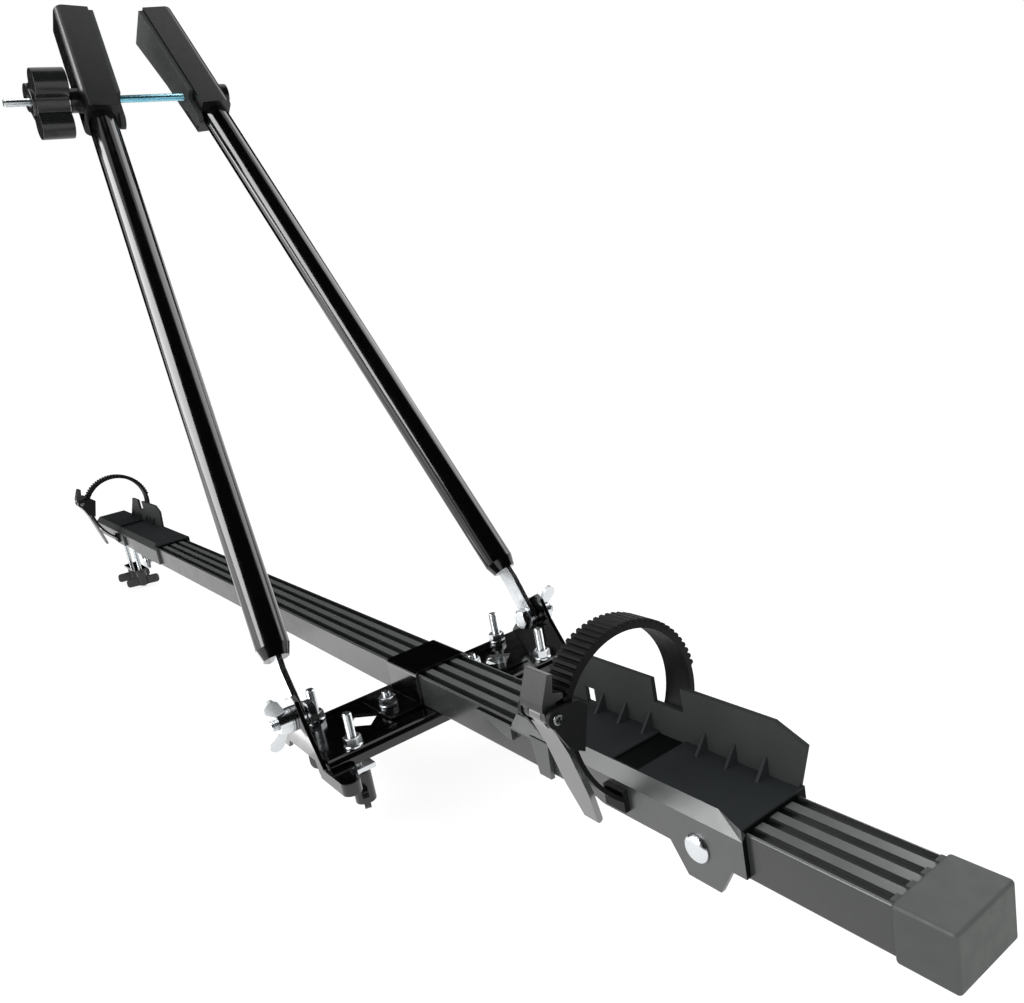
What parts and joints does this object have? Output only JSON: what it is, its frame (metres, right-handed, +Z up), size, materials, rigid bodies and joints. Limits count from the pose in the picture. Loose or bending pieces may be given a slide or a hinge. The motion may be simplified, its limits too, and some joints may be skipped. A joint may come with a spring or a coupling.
{
  "type": "roof bar bicycle carrier",
  "caption": "Roof bar bicycle carrier: ribbed steel rail, folding arms with a knob-clamped jaw, wheel trays with ratchet straps, clamps for both bars.",
  "frame": {"origin": "middle of the front roof bar seat, on the underside of the cross bracket at the rail's centreline", "axes": "+X along the rail towards its capped front end, +Y across the vehicle to the far arm, +Z up"},
  "size_m": [1.3345, 0.2276, 0.6045],
  "materials": {
    "rail_paint": "satin",
    "black_paint": "gloss",
    "zinc": "satin",
    "black_plastic": "satin",
    "tray_plastic": "matte",
    "strap_plastic": "satin",
    "pad_rubber": "matte"
  },
  "bodies": {
    "base": {"rail": "rail_paint", "front_end_cap": "black_plastic", "rear_end_plug": "black_plastic", "cross_bracket": "black_paint", "near_pivot_ear": "black_paint", "far_pivot_ear": "black_paint", "saddle_strap": "black_paint", "saddle_studs": "zinc", "saddle_washers": "zinc", "saddle_nuts": "zinc", "stud_washers": "zinc", "stud_nuts": "zinc", "near_clamp_studs": "zinc", "far_clamp_studs": "zinc", "pivot_bolts": "zinc", "pivot_washers": "zinc", "front_tray": "tray_plastic", "front_tray_bolt": "zinc", "front_tray_nut": "zinc", "front_anchor_pin": "zinc", "front_buckle_base": "tray_plastic", "front_buckle_pin": "zinc"},
    "far_arm": {"far_tongue": "zinc", "far_tube": "black_paint", "far_jaw": "black_plastic", "far_jaw_pad": "pad_rubber", "jaw_bolt": "zinc"},
    "near_arm": {"near_tongue": "zinc", "near_tube": "black_paint", "near_jaw": "black_plastic", "near_jaw_pad": "pad_rubber"},
    "knob_washer": {"knob_washer": "zinc"},
    "knob": {"knob": "black_plastic"},
    "near_clamp": {"near_clamp_plate": "zinc"},
    "far_clamp": {"far_clamp_plate": "zinc"},
    "near_front_hand_nut": {"near_front_hand_nut": "black_plastic"},
    "near_rear_hand_nut": {"near_rear_hand_nut": "black_plastic"},
    "far_front_hand_nut": {"far_front_hand_nut": "black_plastic"},
    "far_rear_hand_nut": {"far_rear_hand_nut": "black_plastic"},
    "near_wing_nut": {"near_pivot_wing_nut": "zinc"},
    "far_wing_nut": {"far_pivot_wing_nut": "zinc"},
    "rear_clamp": {"rear_clamp_bolts": "zinc", "rear_seat_plate": "zinc"},
    "rear_clamp_plate": {"rear_clamp_plate": "black_paint"},
    "rear_hand_nut_front": {"rear_clamp_hand_nut_front": "black_plastic"},
    "rear_hand_nut_rear": {"rear_clamp_hand_nut_rear": "black_plastic"},
    "front_strap": {"front_strap": "strap_plastic"},
    "front_lever": {"front_lever": "tray_plastic"},
    "front_release": {"front_release": "tray_plastic"},
    "rear_holder": {"rear_tray": "tray_plastic", "rear_tray_bolt": "zinc", "rear_tray_nut": "zinc", "rear_anchor_pin": "zinc", "rear_buckle_base": "tray_plastic", "rear_buckle_pin": "zinc"},
    "rear_strap": {"rear_strap": "strap_plastic"},
    "rear_lever": {"rear_lever": "tray_plastic"},
    "rear_release": {"rear_release": "tray_plastic"}
  },
  "joints": [
    {"name": "arm_fold", "type": "hinge", "parent": "base", "child": "far_arm", "pos_m": [-0.005, 0, 0.0205], "axis": [0, 1, 0], "range_deg": [-52, 60]},
    {"name": "near_arm_swing", "type": "hinge", "parent": "far_arm", "child": "near_arm", "pos_m": [-0.005, -0.0914, 0.0205], "axis": [-0.8406, 0, -0.5417], "range_deg": [0, 2.23]},
    {"name": "washer_travel", "type": "slide", "parent": "far_arm", "child": "knob_washer", "axis": [0, 1, 0], "range_m": [0, 0.0201]},
    {"name": "knob_turn", "type": "hinge", "parent": "knob_washer", "child": "knob", "pos_m": [-0.28398, 0, 0.45339], "axis": [0, 1, 0], "continuous": true},
    {"name": "near_clamp_travel", "type": "slide", "parent": "base", "child": "near_clamp", "axis": [0, 0, 1], "range_m": [-0.014, 0.008]},
    {"name": "near_front_hand_nut_turn", "type": "hinge", "parent": "near_clamp", "child": "near_front_hand_nut", "pos_m": [0.028, -0.074, -0.0143], "axis": [0, 0, 1], "continuous": true},
    {"name": "near_rear_hand_nut_turn", "type": "hinge", "parent": "near_clamp", "child": "near_rear_hand_nut", "pos_m": [-0.028, -0.074, -0.0143], "axis": [0, 0, 1], "continuous": true},
    {"name": "far_clamp_travel", "type": "slide", "parent": "base", "child": "far_clamp", "axis": [0, 0, 1], "range_m": [-0.014, 0.008]},
    {"name": "far_front_hand_nut_turn", "type": "hinge", "parent": "far_clamp", "child": "far_front_hand_nut", "pos_m": [0.028, 0.074, -0.0143], "axis": [0, 0, 1], "continuous": true},
    {"name": "far_rear_hand_nut_turn", "type": "hinge", "parent": "far_clamp", "child": "far_rear_hand_nut", "pos_m": [-0.028, 0.074, -0.0143], "axis": [0, 0, 1], "continuous": true},
    {"name": "near_wing_nut_turn", "type": "hinge", "parent": "base", "child": "near_wing_nut", "pos_m": [-0.005, -0.097, 0.0205], "axis": [0, 1, 0], "continuous": true},
    {"name": "far_wing_nut_turn", "type": "hinge", "parent": "base", "child": "far_wing_nut", "pos_m": [-0.005, 0.097, 0.0205], "axis": [0, 1, 0], "continuous": true},
    {"name": "rear_clamp_slide", "type": "slide", "parent": "base", "child": "rear_clamp", "axis": [1, 0, 0], "range_m": [-0.02, 0.1]},
    {"name": "rear_plate_travel", "type": "slide", "parent": "rear_clamp", "child": "rear_clamp_plate", "axis": [0, 0, 1], "range_m": [-0.012, 0.03]},
    {"name": "rear_hand_nut_front_turn", "type": "hinge", "parent": "rear_clamp_plate", "child": "rear_hand_nut_front", "pos_m": [-0.848, 0, -0.0473], "axis": [0, 0, 1], "continuous": true},
    {"name": "rear_hand_nut_rear_turn", "type": "hinge", "parent": "rear_clamp_plate", "child": "rear_hand_nut_rear", "pos_m": [-0.902, 0, -0.0473], "axis": [0, 0, 1], "continuous": true},
    {"name": "rear_holder_slide", "type": "slide", "parent": "base", "child": "rear_holder", "axis": [1, 0, 0], "range_m": [0, 0.1]},
    {"name": "front_strap_swing", "type": "hinge", "parent": "base", "child": "front_strap", "pos_m": [0.2135, 0.0255, 0.0335], "axis": [1, 0, 0], "range_deg": [-95, 0]},
    {"name": "front_lever_swing", "type": "hinge", "parent": "base", "child": "front_lever", "pos_m": [0.2135, -0.0556, 0.0728], "axis": [1, 0, 0], "range_deg": [-85, 0]},
    {"name": "front_release_swing", "type": "hinge", "parent": "base", "child": "front_release", "pos_m": [0.2135, -0.0556, 0.0728], "axis": [1, 0, 0], "range_deg": [0, 20]},
    {"name": "rear_strap_swing", "type": "hinge", "parent": "rear_holder", "child": "rear_strap", "pos_m": [-0.82, 0.0255, 0.0335], "axis": [1, 0, 0], "range_deg": [-95, 0]},
    {"name": "rear_lever_swing", "type": "hinge", "parent": "rear_holder", "child": "rear_lever", "pos_m": [-0.82, -0.0556, 0.0728], "axis": [1, 0, 0], "range_deg": [-85, 0]},
    {"name": "rear_release_swing", "type": "hinge", "parent": "rear_holder", "child": "rear_release", "pos_m": [-0.82, -0.0556, 0.0728], "axis": [1, 0, 0], "range_deg": [0, 20]}
  ],
  "couplings": [
    {"joint": "washer_travel", "follows": "near_arm_swing", "m_per_rad": 0.515}
  ]
}
